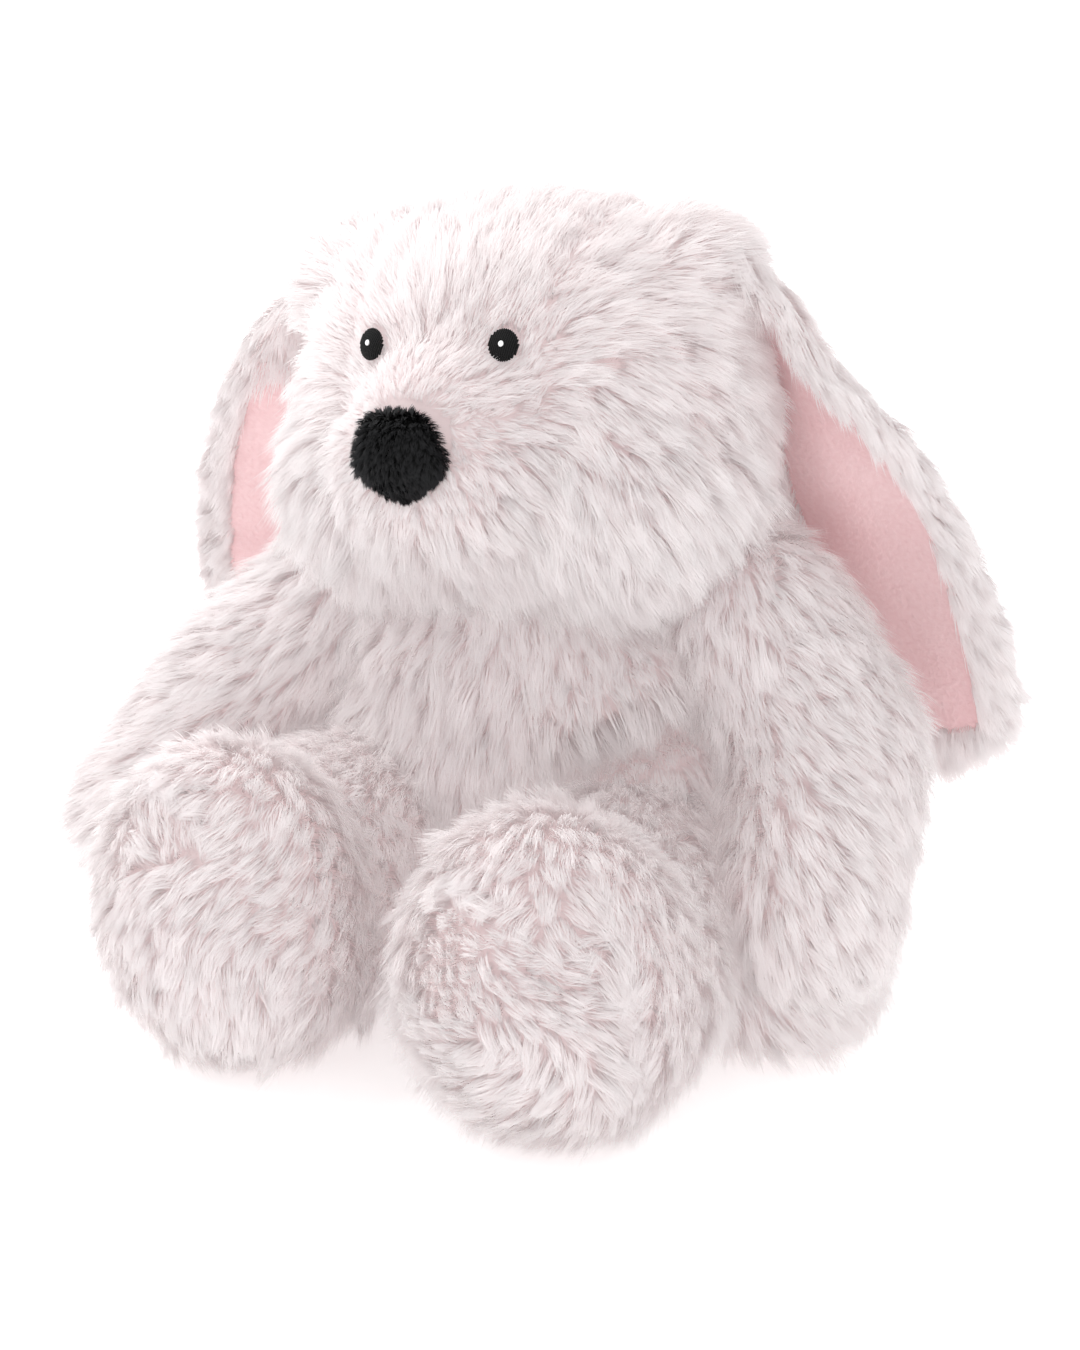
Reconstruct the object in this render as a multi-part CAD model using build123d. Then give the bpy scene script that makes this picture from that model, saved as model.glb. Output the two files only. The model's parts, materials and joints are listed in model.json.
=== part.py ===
from build123d import *
from math import acos, cos, pi, sin, sqrt
import os

# Seated plush rabbit with lop ears. Millimetres, +Z up. The front of the toy is -Y and its left is +X.
# The origin is on the floor, in the flat rest face under the torso.
# Every cover is a sewn fur panel drawn to the height of its pile pressed down by a hand: the loose
# pile stands further out. The stuffing fills each cover.

COVER = 4.0          # backing cloth and pressed pile
SEAT = 0.5           # space between bodies that move past each other
SWEEP = 0.9          # extra room kept round a limb's swept path


def vec(point):
    return Vector(*point)


def ellipsoid(centre, radii, turn=(0, 0, 0)):
    ball = scale(Sphere(1), by=radii)
    return Location(centre, turn) * ball


def limb(start, end, start_r, end_r):
    """A stuffed tube with round ends: a ball at each end and the cone that touches both."""
    along = vec(end) - vec(start)
    length = along.length
    lean = acos((start_r - end_r) / length)
    first_touch = (start_r * cos(lean), start_r * sin(lean))
    last_touch = (length + end_r * cos(lean), end_r * sin(lean))
    first_mid = (-start_r * cos((pi - lean) / 2), start_r * sin((pi - lean) / 2))
    last_mid = (length + end_r * cos(lean / 2), end_r * sin(lean / 2))
    with BuildSketch(Plane.XY) as outline:
        with BuildLine():
            ThreePointArc((-start_r, 0), first_mid, first_touch)
            Line(first_touch, last_touch)
            ThreePointArc(last_touch, last_mid, (length + end_r, 0))
            Line((length + end_r, 0), (-start_r, 0))
        make_face()
    solid = revolve(outline.sketch, axis=Axis.X)
    sideways = along.cross(Vector(0, 0, 1))
    return Plane(origin=start, x_dir=along, z_dir=sideways).location * solid


def turned(shape, pivot, axis, angle):
    return shape.rotate(Axis(pivot, axis), angle)


def hollowed(shape, rooms):
    """Cut every room out of a shape, one after another."""
    for room in rooms:
        shape = shape - room
    return shape


def half_space(origin, normal):
    """A large block that fills the side of the plane the normal points to."""
    size = 1200
    side = Plane(origin=origin, z_dir=normal)
    return side.location * Pos(0, 0, size / 2) * Box(size, size, size)


def write(shape, node):
    shape.label = node
    export_step(shape, "parts/" + node + ".step")


# ---- pivots and ranges ------------------------------------------------------------------------------

NECK_PIVOT = (0, 2, 150)
NECK_BALL = 26
NECK_GAP_LOW = 140       # the torso ends here under the neck
NECK_GAP_HIGH = 160      # the head starts here above the neck

LEFT_SHOULDER = (76, 4, 131)
LEFT_HAND = (132, -40, 62)
RIGHT_SHOULDER = (-74, 8, 127)
RIGHT_HAND = (-140, -52, 42)
SHOULDER_R = 26
HAND_R = 27

LEFT_HIP = (52, -30, 46)
LEFT_ANKLE = (62, -96, 47)
RIGHT_HIP = (-50, -30, 46)
RIGHT_ANKLE = (-54, -94, 46)
HIP_R = 37
ANKLE_R = 46.5
LEG_LIFT = 18            # degrees a leg lifts off the floor
LIFT_STEPS = 2


# ---- outlines of the stuffed shapes, shrunk by a given depth -----------------------------------------

def torso_shape(depth):
    seat = ellipsoid((2, 15, 48), (110 - depth, 72 - depth, 56 - depth))
    chest = ellipsoid((0, 10, 110), (71 - depth, 56 - depth, 45 - depth))
    floor = half_space((0, 0, depth), (0, 0, 1))
    neck_cut = half_space((0, 0, NECK_GAP_LOW - depth), (0, 0, -1))
    return (seat + chest) & floor & neck_cut


HEAD_CENTRE = (-1, -4, 211)
HEAD_TURN = (-3.3, -6.8, 0.8)    # pitch, roll and yaw of the slumped head


def head_shape(depth):
    frame = Location(HEAD_CENTRE, HEAD_TURN)
    skull = scale(Sphere(1), by=(81 - depth, 67 - depth, 64 - depth))
    muzzle = Pos(0, -42, -14) * scale(Sphere(1), by=(46 - depth, 38 - depth, 41 - depth))
    neck_cut = half_space((0, 0, NECK_GAP_HIGH + depth), (0, 0, 1))
    return (frame * (skull + muzzle)) & neck_cut


def arm_shape(shoulder, hand, depth):
    return limb(shoulder, hand, SHOULDER_R - depth, HAND_R - depth)


FOOT_RADII = (46.5, 38, 56)


def leg_shape(hip, ankle, foot_centre, foot_turn, depth):
    tube = limb(hip, ankle, HIP_R - depth, ANKLE_R - depth)
    radii = (FOOT_RADII[0] - depth, FOOT_RADII[1] - depth, FOOT_RADII[2] - depth)
    foot = ellipsoid(foot_centre, radii, (0, 0, foot_turn))
    return tube + foot


LEFT_FOOT = (63, -118, 56)
LEFT_FOOT_TURN = 8
RIGHT_FOOT = (-55, -120, 56)
RIGHT_FOOT_TURN = -4


# ---- limbs -------------------------------------------------------------------------------------------

def raise_axis(shoulder, hand):
    """The level axis about which an arm swings up in its own upright plane."""
    outward = vec(hand) - vec(shoulder)
    level = Vector(outward.X, outward.Y, 0).normalized()
    return (level.Y, -level.X, 0)


def make_arm(side, shoulder, hand):
    outer = arm_shape(shoulder, hand, 0)
    inner = arm_shape(shoulder, hand, COVER)
    cover = outer - inner
    seam_normal = vec(raise_axis(shoulder, hand)).cross(vec(hand) - vec(shoulder)).normalized()
    upper_side = half_space(shoulder, seam_normal)
    lower_side = half_space(shoulder, -seam_normal)
    write(cover & upper_side, side + "_arm_outer_panel")
    write(cover & lower_side, side + "_arm_inner_panel")
    write(inner, side + "_arm_stuffing")


def make_leg(side, hip, ankle, foot_centre, foot_turn):
    outer = leg_shape(hip, ankle, foot_centre, foot_turn, 0)
    inner = leg_shape(hip, ankle, foot_centre, foot_turn, COVER)
    cover = outer - inner
    sole_depth = foot_centre[1] - 20
    sole_side = half_space((0, sole_depth, 0), (0, -1, 0))
    shank_side = half_space((0, sole_depth, 0), (0, 1, 0))
    above = half_space((0, 0, hip[2]), (0, 0, 1))
    below = half_space((0, 0, hip[2]), (0, 0, -1))
    write(cover & shank_side & above, side + "_leg_upper_panel")
    write(cover & shank_side & below, side + "_leg_under_panel")
    write(cover & sole_side, side + "_foot_sole_panel")
    write(inner, side + "_leg_stuffing")


# ---- torso and tail ----------------------------------------------------------------------------------

TAIL_CENTRE = (2, 92, 44)
TAIL_R = 21
SIDE_SEAM_Y = 20
STITCH_COUNT = 7


def sockets():
    """Hollows in the torso that hold the neck ball and clear the limbs at every angle.

    Each leg needs its space again at every few degrees of lift. The space grows a little each time,
    so that no two balls at the hip are the same size.
    """
    rooms = [Pos(*NECK_PIVOT) * Sphere(NECK_BALL + SEAT)]
    for shoulder, hand in ((LEFT_SHOULDER, LEFT_HAND), (RIGHT_SHOULDER, RIGHT_HAND)):
        rooms.append(arm_shape(shoulder, hand, -SWEEP))
    for hip, ankle in ((LEFT_HIP, LEFT_ANKLE), (RIGHT_HIP, RIGHT_ANKLE)):
        for step in range(LIFT_STEPS + 1):
            slack = SEAT + 0.1 * step
            leg_room = limb(hip, ankle, HIP_R + slack, ANKLE_R + slack)
            rooms.append(turned(leg_room, hip, (-1, 0, 0), LEG_LIFT * step / LIFT_STEPS))
    return rooms


def grain_pouch(depth):
    return ellipsoid((2, 46, 36), (66 - depth, 29 - depth, 27 - depth))


def stitches():
    """Short ladder stitches across the back seam, above the tail."""
    row = []
    for index in range(STITCH_COUNT):
        height = 74 + index * 7
        back_y = 10 + 56 * sqrt(max(0.0, 1 - ((height - 110) / 45) ** 2))
        if height < 80:
            back_y = 15 + 72 * sqrt(1 - ((height - 48) / 56) ** 2)
        bar = Pos(2, back_y, height) * Rot(0, 90, 0) * Cylinder(0.7, 6)
        row.append(bar)
    return Compound(children=row)


def make_torso():
    outer = torso_shape(0)
    inner = torso_shape(COVER)
    tail = Pos(*TAIL_CENTRE) * Sphere(TAIL_R)
    tail_inner = Pos(*TAIL_CENTRE) * Sphere(TAIL_R - COVER)
    rooms = sockets()
    cover = hollowed(outer - inner, rooms)
    front = half_space((0, SIDE_SEAM_Y, 0), (0, -1, 0))
    back = half_space((0, SIDE_SEAM_Y, 0), (0, 1, 0))
    left = half_space((2, 0, 0), (1, 0, 0))
    right = half_space((2, 0, 0), (-1, 0, 0))
    seam = stitches()
    back_cover = cover & back
    write(cover & front, "body_front_panel")
    write((back_cover & left) - seam, "body_back_left_panel")
    write((back_cover & right) - seam, "body_back_right_panel")
    write(seam, "back_closing_stitches")
    write(hollowed(inner - grain_pouch(0), rooms) - seam, "body_stuffing")
    write(grain_pouch(0) - grain_pouch(1.2), "grain_pouch_liner")
    write(grain_pouch(1.2), "grain_fill")
    write(tail - tail_inner - outer, "tail_cover")
    write(tail_inner - outer, "tail_stuffing")


def make_neck():
    ball = Pos(*NECK_PIVOT) * Sphere(NECK_BALL)
    core = Pos(*NECK_PIVOT) * Sphere(NECK_BALL - 2)
    write(ball - core, "neck_cover")
    write(core, "neck_stuffing")


# ---- head --------------------------------------------------------------------------------------------

GUSSET_HALF = 31
EYE_R = 5
EYE_ACROSS = 23.9
EYE_UP = 30.3
HIGHLIGHT_R = 0.7
NOSE_RADII = (17.5, 10, 16.5)


def front_depth(across, up):
    """How far forward the skull's surface is at a place on the face."""
    return 67 * sqrt(1 - (across / 81) ** 2 - (up / 64) ** 2)


def eye(across):
    """An embroidered disc set flush in the cloth, and the stitch that catches the light on it."""
    forward = front_depth(across, EYE_UP)
    normal = Vector(across / 81 ** 2, -forward / 67 ** 2, EYE_UP / 64 ** 2).normalized()
    face = Plane(origin=(across, -forward, EYE_UP), z_dir=normal)
    disc = face.location * Pos(0, 0, -0.4) * Cylinder(EYE_R, 2.4)
    spot = face.location * Pos(-0.6, 0.8, 1.1) * Cylinder(HIGHLIGHT_R, 0.6)
    return disc, spot


def make_head():
    frame = Location(HEAD_CENTRE, HEAD_TURN)
    outer = head_shape(0)
    inner = head_shape(COVER)
    socket = Pos(*NECK_PIVOT) * Sphere(NECK_BALL + SEAT)
    cover = outer - inner - socket
    gusset_block = frame * Pos(0, 0, 100) * Box(2 * GUSSET_HALF, 300, 200)
    left_block = frame * Pos(300, 0, 0) * Box(600, 600, 600)
    right_block = frame * Pos(-300, 0, 0) * Box(600, 600, 600)
    left_disc, left_spot = eye(EYE_ACROSS)
    right_disc, right_spot = eye(-EYE_ACROSS)
    left_disc = frame * left_disc
    right_disc = frame * right_disc
    write((cover & gusset_block) - left_disc - right_disc, "head_gusset_panel")
    sides = cover - gusset_block
    write(sides & left_block, "head_left_panel")
    write(sides & right_block, "head_right_panel")
    write(inner - socket, "head_stuffing")
    write(left_disc, "left_eye")
    write(right_disc, "right_eye")
    write(frame * left_spot - left_disc, "left_eye_highlight")
    write(frame * right_spot - right_disc, "right_eye_highlight")
    nose_place = frame * Pos(0, -77, 1)
    nose = nose_place * scale(Sphere(1), by=NOSE_RADII)
    padding = nose_place * scale(Sphere(1), by=(NOSE_RADII[0] - 2, NOSE_RADII[1] - 2, NOSE_RADII[2] - 2))
    write(nose - padding - outer, "nose_cover")
    write(padding - outer, "nose_stuffing")


# ---- ears --------------------------------------------------------------------------------------------

EAR_LENGTH = 214
EAR_ROOT_HALF = 13
EAR_WIDE_HALF = 37
EAR_BACK = 5.0
EAR_LINING = 3.0
LEFT_EAR_ROOT = (72, 11, 272)
LEFT_EAR_TIP = (144, 59, 74)
RIGHT_EAR_ROOT = (-78, 10, 254)
RIGHT_EAR_TIP = (-150, 58, 52)


def ear_frame(root, tip, inward):
    """Local X runs down the ear, local Z out of the lining, which faces forward and to the head."""
    along = (vec(tip) - vec(root)).normalized()
    facing = Vector(inward * 0.30, -0.95, 0)
    facing = (facing - along * facing.dot(along)).normalized()
    return Plane(origin=root, x_dir=along, z_dir=facing)


def ear_outline(margin):
    half_root = EAR_ROOT_HALF - margin
    half_wide = EAR_WIDE_HALF - margin
    end = EAR_LENGTH - margin
    with BuildSketch(Plane.XY) as leaf:
        with BuildLine():
            Spline((margin, half_root), (60, half_wide * 0.50), (110, half_wide * 0.78), (155, half_wide),
                   (end - 22, half_wide * 0.78), (end, 0))
            Spline((end, 0), (end - 22, -half_wide * 0.78), (155, -half_wide), (110, -half_wide * 0.78),
                   (60, -half_wide * 0.50), (margin, -half_root))
            Line((margin, -half_root), (margin, half_root))
        make_face()
    return leaf.sketch


def make_ear(side, root, tip, inward):
    place = ear_frame(root, tip, inward).location
    back = Pos(0, 0, -EAR_BACK) * extrude(ear_outline(0), amount=EAR_BACK)
    lining = extrude(ear_outline(9), amount=EAR_LINING)
    write(place * back, side + "_ear_back_panel")
    write(place * lining, side + "_ear_lining")


os.makedirs("parts", exist_ok=True)
make_torso()
make_neck()
make_head()
make_ear("left", LEFT_EAR_ROOT, LEFT_EAR_TIP, -1)
make_ear("right", RIGHT_EAR_ROOT, RIGHT_EAR_TIP, 1)
make_arm("left", LEFT_SHOULDER, LEFT_HAND)
make_arm("right", RIGHT_SHOULDER, RIGHT_HAND)
make_leg("left", LEFT_HIP, LEFT_ANKLE, LEFT_FOOT, LEFT_FOOT_TURN)
make_leg("right", RIGHT_HIP, RIGHT_ANKLE, RIGHT_FOOT, RIGHT_FOOT_TURN)
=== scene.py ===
import json
import math
from collections import namedtuple

import bmesh
import bpy
import numpy as np
from mathutils import Euler, Matrix, Vector


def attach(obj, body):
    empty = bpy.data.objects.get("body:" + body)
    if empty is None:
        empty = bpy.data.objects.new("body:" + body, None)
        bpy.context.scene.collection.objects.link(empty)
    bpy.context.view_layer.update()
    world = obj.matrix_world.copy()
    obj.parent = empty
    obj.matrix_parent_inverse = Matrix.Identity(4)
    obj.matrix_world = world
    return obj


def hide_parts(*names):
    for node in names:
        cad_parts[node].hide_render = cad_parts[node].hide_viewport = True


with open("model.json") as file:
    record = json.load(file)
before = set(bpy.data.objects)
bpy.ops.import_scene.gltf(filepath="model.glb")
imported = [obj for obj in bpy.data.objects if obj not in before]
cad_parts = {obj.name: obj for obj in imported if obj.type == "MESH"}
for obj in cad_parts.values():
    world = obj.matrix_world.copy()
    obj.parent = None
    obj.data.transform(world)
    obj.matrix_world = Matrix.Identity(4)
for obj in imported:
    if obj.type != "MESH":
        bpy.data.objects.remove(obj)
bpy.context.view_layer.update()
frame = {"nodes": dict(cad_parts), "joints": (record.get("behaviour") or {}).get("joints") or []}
joints = {joint["name"]: joint for joint in frame["joints"]}

MM = 0.001
FULL_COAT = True


# ---------------------------------------------------------------- helpers

def unit(vectors):
    length = np.linalg.norm(vectors, axis=-1, keepdims=True)
    return vectors / np.maximum(length, 1e-9)


def tangent(vectors, normals):
    """The part of each vector that lies in the cloth."""
    return vectors - normals * np.sum(vectors * normals, axis=-1, keepdims=True)


def smooth_step(value, low, high):
    t = np.clip((value - low) / (high - low), 0, 1)
    return t * t * (3 - 2 * t)


def ripple(points, scale, seed):
    """Smooth wandering vectors, used to vary the nap. A few sine waves in fixed random directions."""
    rng = np.random.default_rng(seed)
    total = np.zeros_like(points)
    for _ in range(4):
        waves = rng.normal(size=(3, 3)) / scale
        phase = rng.uniform(0, 2 * math.pi, 3)
        total = total + np.sin(points @ waves.T + phase)
    return total * 0.5


# ---------------------------------------------------------------- stuffed skins

def ball(centre, radii, turn=(0, 0, 0)):
    rotation = Euler([math.radians(a) for a in turn]).to_matrix().to_4x4()
    size = Matrix.Diagonal((radii[0] * MM, radii[1] * MM, radii[2] * MM, 1))
    return Matrix.Translation(Vector(centre) * MM) @ rotation @ size


BALLS_PER_STRETCH = 9


def tube(points, radii):
    """Overlapping balls along a bent line, each sized between its ends."""
    made = []
    for start, end, r0, r1 in zip(points, points[1:], radii, radii[1:]):
        for k in range(BALLS_PER_STRETCH):
            t = k / (BALLS_PER_STRETCH - 1)
            centre = [a * (1 - t) + b * t for a, b in zip(start, end)]
            r = r0 * (1 - t) + r1 * t
            made.append(ball(centre, (r, r, r)))
    return made


def skin_mesh(name, parts, voxel=3.5, rounds=10):
    """One closed bag of cloth round all the parts, with the hollows between them drawn smooth."""
    bm = bmesh.new()
    for matrix in parts:
        bmesh.ops.create_icosphere(bm, subdivisions=4, radius=1, matrix=matrix)
    rough = bpy.data.meshes.new(name + "_rough")
    bm.to_mesh(rough)
    bm.free()
    holder = bpy.data.objects.new(name + "_rough", rough)
    bpy.context.collection.objects.link(holder)
    remesh = holder.modifiers.new("remesh", "REMESH")
    remesh.mode = "VOXEL"
    remesh.voxel_size = voxel * MM
    relax = holder.modifiers.new("relax", "SMOOTH")
    relax.factor = 0.5
    relax.iterations = rounds
    graph = bpy.context.evaluated_depsgraph_get()
    mesh = bpy.data.meshes.new_from_object(holder.evaluated_get(graph))
    bpy.data.objects.remove(holder)
    mesh.name = name
    return mesh


def read_vertices(mesh):
    flat = np.empty(len(mesh.vertices) * 3, np.float32)
    mesh.vertices.foreach_get("co", flat)
    return flat.reshape(-1, 3).astype(np.float64)


def write_vertices(mesh, points):
    mesh.vertices.foreach_set("co", points.astype(np.float32).ravel())
    mesh.update()


def read_normals(mesh):
    flat = np.empty(len(mesh.vertices) * 3, np.float32)
    mesh.vertex_normals.foreach_get("vector", flat)
    return flat.reshape(-1, 3).astype(np.float64)


def smooth_faces(mesh):
    for polygon in mesh.polygons:
        polygon.use_smooth = True


def read_triangles(mesh):
    mesh.calc_loop_triangles()
    flat = np.empty(len(mesh.loop_triangles) * 3, np.int32)
    mesh.loop_triangles.foreach_get("vertices", flat)
    return flat.reshape(-1, 3)


# ---------------------------------------------------------------- fur

STRAND_STEPS = 3
HAIR_WIDTH = 0.29
HAIR_WIDTH_SPREAD = (0.7, 1.2)
HAIR_TAPER = 0.55
FACING_SPREAD = 0.18
LOCK_SEED = 11
WISP_SEED = 29
LOCK_STAND_SPREAD = 0.09
STAND_LIMITS = (0.06, 0.95)
LOCK_LENGTH_SPREAD = 0.13
HAIR_LENGTH_SPREAD = (0.80, 1.06)
WISP_LEAN = 0.09
OWN_LEAN = 0.07
WISP_DRAW = 0.45
LOCK_DRAW = 0.85
LOWEST_HAIR = 0.4 * MM
CELL_PRIMES = (73856093, 19349663, 83492791)
JITTER_PRIMES = (2654435761, 40503, 9176131)
JITTER_SHIFT = 7
JITTER_STEPS = 1009


def scatter(points, normals, triangles, per_cm2, rng):
    """Roots spread evenly over a skin, with the cloth's normal at each."""
    a, b, c = (points[triangles[:, k]] for k in range(3))
    area = np.linalg.norm(np.cross(b - a, c - a), axis=1) / 2
    count = int(area.sum() * 1e4 * per_cm2)
    pick = rng.choice(len(triangles), count, p=area / area.sum())
    u = rng.random((count, 1))
    v = rng.random((count, 1))
    flip = (u + v) > 1
    u = np.where(flip, 1 - u, u)
    v = np.where(flip, 1 - v, v)
    roots = a[pick] * (1 - u - v) + b[pick] * u + c[pick] * v
    na, nb, nc = (normals[triangles[pick, k]] for k in range(3))
    return roots, unit(na * (1 - u - v) + nb * u + nc * v)


def cell_key(cell, seed):
    """One whole number for each cell of a grid."""
    mixed = [cell[:, axis] * prime for axis, prime in enumerate(CELL_PRIMES)]
    return mixed[0] ^ mixed[1] ^ mixed[2] ^ seed


def cell_jitter(key):
    """Where a lock's seed sits in its cell, from 0 to 1 along each side."""
    return np.stack([((key * prime) >> JITTER_SHIFT) % JITTER_STEPS / JITTER_STEPS
                     for prime in JITTER_PRIMES], 1)


def locks(roots, size, seed):
    """Which lock each hair belongs to: the nearest of a set of seeds, one in each cell of a grid."""
    cell = np.floor(roots / size).astype(np.int64)
    best = np.full(len(roots), 1e9)
    owner = np.zeros(len(roots), np.int64)
    for dx in (-1, 0, 1):
        for dy in (-1, 0, 1):
            for dz in (-1, 0, 1):
                near = cell + np.array((dx, dy, dz))
                key = cell_key(near, seed)
                gap = np.linalg.norm((near + cell_jitter(key)) * size - roots, axis=1)
                closer = gap < best
                best = np.where(closer, gap, best)
                owner = np.where(closer, key, owner)
    names, member = np.unique(owner, return_inverse=True)
    return member, len(names)


def lock_mean(values, member, count):
    """The mean of a value over each lock, handed back to every hair in it."""
    held = np.bincount(member, minlength=count)[:, None]
    sums = np.stack([np.bincount(member, values[:, k], count) for k in range(values.shape[1])], 1)
    return (sums / held)[member]


def comb(roots, normals, fields, rng, lock=6.5, fine=2.0, frizz=0.9, droop=0.14):
    """Grows hairs. fields holds, for each root, the nap (the way the pile leans), its length, stand
    (how upright it is, from 0 to 1) and pull (how tightly its lock draws together).

    Hairs in one lock share its lean and bend and draw together towards its tip, a little in fine
    wisps and more in whole locks, so the coat breaks into blunt tufts.
    """
    hairs = len(roots)
    member, count = locks(roots, lock * MM, LOCK_SEED)
    wisp, wisps = locks(roots, fine * MM, WISP_SEED)
    pull = fields["pull"][:, None]
    lock_root = lock_mean(roots, member, count)
    lock_up = unit(lock_mean(normals, member, count))
    stray = rng.normal(size=(count, 3))[member] * (0.08 + 0.24 * pull)
    lock_nap = unit(lock_mean(fields["nap"], member, count) + stray)
    lock_nap = unit(tangent(lock_nap, lock_up) + 1e-6)
    lock_stand = fields["stand"] + rng.normal(size=count)[member] * LOCK_STAND_SPREAD
    lock_stand = np.clip(lock_stand, *STAND_LIMITS)[:, None]
    lock_long = 1 + LOCK_LENGTH_SPREAD * rng.normal(size=count)[member]
    long = (fields["length"] * lock_long * rng.uniform(*HAIR_LENGTH_SPREAD, hairs))[:, None]
    wisp_root = lock_mean(roots, wisp, wisps)
    wisp_lean = rng.normal(size=(wisps, 3))[wisp]
    own_lean = rng.normal(size=(hairs, 3))
    lean = unit(lock_nap + WISP_LEAN * wisp_lean + OWN_LEAN * own_lean)
    path = np.empty((hairs, STRAND_STEPS + 1, 3))
    for step in range(STRAND_STEPS + 1):
        t = step / STRAND_STEPS
        rise = (lock_stand * t + (1 - lock_stand) * (t - 0.62 * t * t))
        run = (1 - lock_stand) * (0.25 * t + 0.75 * t * t) + lock_stand * 0.45 * t * t
        spot = roots + long * (lock_up * rise + lean * run)
        spot = spot + (wisp_root - roots) * (WISP_DRAW * pull * t)
        spot = spot + (lock_root - roots) * (LOCK_DRAW * pull * t * t)
        spot = spot + own_lean * (frizz * MM * 0.35 * t)
        spot[:, 2] = np.maximum(spot[:, 2] - long[:, 0] * droop * t * t, LOWEST_HAIR)
        path[:, step] = spot
    bulge = unit(lock_up + 90 * (roots - lock_root) * pull + 0.08 * wisp_lean)
    tone = rng.uniform(0, 1, count)[member] * 0.6 + rng.uniform(0, 1, hairs) * 0.4
    return path, bulge, tone


def ribbons(path, shade, width, rng):
    """Turns hair paths into thin tapered ribbons that face outwards, give or take a little twist."""
    hairs, rows = path.shape[:2]
    along = np.gradient(path, axis=1)
    facing = unit(shade[:, None, :] + FACING_SPREAD * rng.normal(size=(hairs, 1, 3)))
    side = unit(np.cross(along, facing))
    t = np.linspace(0, 1, rows)
    half = width[:, None] * MM * 0.5 * (1 - HAIR_TAPER * t ** 2)[None, :]
    left = path - side * half[..., None]
    right = path + side * half[..., None]
    body = np.stack([left[:, :-1], right[:, :-1]], 2).reshape(hairs, -1, 3)
    return np.concatenate([body, path[:, -1:]], 1)


def coat_arrays(path, shade, tone, width, rng):
    """Vertices, faces, corner UVs and shading normals of all the ribbons."""
    verts = ribbons(path, shade, width, rng)
    hairs, per_hair = verts.shape[:2]
    quads = []
    for step in range(STRAND_STEPS - 1):
        quads.append([2 * step, 2 * step + 1, 2 * step + 3, 2 * step + 2])
    quads = np.array(quads)
    tip = np.array([per_hair - 3, per_hair - 2, per_hair - 1])
    base = (np.arange(hairs) * per_hair)[:, None]
    loops = np.concatenate([quads.ravel(), tip])
    corner = (base + loops[None, :]).ravel()
    sizes = np.tile(np.array([4] * (STRAND_STEPS - 1) + [3]), hairs)
    rise = np.minimum(np.repeat(np.arange(STRAND_STEPS + 1), 2)[:per_hair] / STRAND_STEPS, 1)
    rise[-1] = 1
    uv_v = np.tile(rise[loops], hairs)
    uv_u = np.repeat(tone, len(loops))
    normal = np.repeat(shade[:, None, :], per_hair, 1)
    return verts.reshape(-1, 3), corner, sizes, np.stack([uv_u, uv_v], 1), normal.reshape(-1, 3)


def mesh_from_arrays(name, verts, corner, sizes, uv, normals):
    mesh = bpy.data.meshes.new(name)
    mesh.vertices.add(len(verts))
    mesh.vertices.foreach_set("co", verts.astype(np.float32).ravel())
    mesh.loops.add(len(corner))
    mesh.loops.foreach_set("vertex_index", corner.astype(np.int32))
    mesh.polygons.add(len(sizes))
    starts = np.concatenate([[0], np.cumsum(sizes)[:-1]])
    mesh.polygons.foreach_set("loop_start", starts.astype(np.int32))
    mesh.update(calc_edges=True)
    layer = mesh.uv_layers.new(name="OFBake")
    layer.uv.foreach_set("vector", uv.astype(np.float32).ravel())
    mesh.polygons.foreach_set("use_smooth", np.ones(len(sizes), bool))
    mesh.normals_split_custom_set_from_vertices(normals.astype(np.float32))
    return mesh


def put(name, mesh, material):
    made = bpy.data.objects.new(name, mesh)
    bpy.context.collection.objects.link(made)
    mesh.materials.append(material)
    return made


def furred_panel(name, skin, keep_faces, coat, chosen, material, width, rng):
    """One sewn panel: its piece of backing cloth and the pile that grows from it."""
    points, normals, triangles = skin
    faces = triangles[keep_faces]
    used, index = np.unique(faces, return_inverse=True)
    path, shade, tone = (part[chosen] for part in coat)
    verts, corner, sizes, uv, shading = coat_arrays(path, shade, tone, width[chosen], rng)
    all_verts = np.concatenate([points[used], verts])
    all_corner = np.concatenate([index.ravel(), corner + len(used)])
    all_sizes = np.concatenate([np.full(len(faces), 3), sizes])
    backing_uv = np.tile([0.5, 0.0], (len(faces) * 3, 1))
    all_uv = np.concatenate([backing_uv, uv])
    all_normals = np.concatenate([normals[used], shading])
    mesh = mesh_from_arrays(name, all_verts, all_corner, all_sizes, all_uv, all_normals)
    return put(name, mesh, material)


# ---------------------------------------------------------------- materials

def new_material(name):
    material = bpy.data.materials.new(name)
    material.use_nodes = True
    nodes = material.node_tree.nodes
    shader = nodes["Principled BSDF"]
    return material, nodes, material.node_tree.links, shader


FUR_MIDDLE = 0.42
DARKEST_LOCK = 0.95
LIGHTEST_LOCK = 1.02


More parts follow.
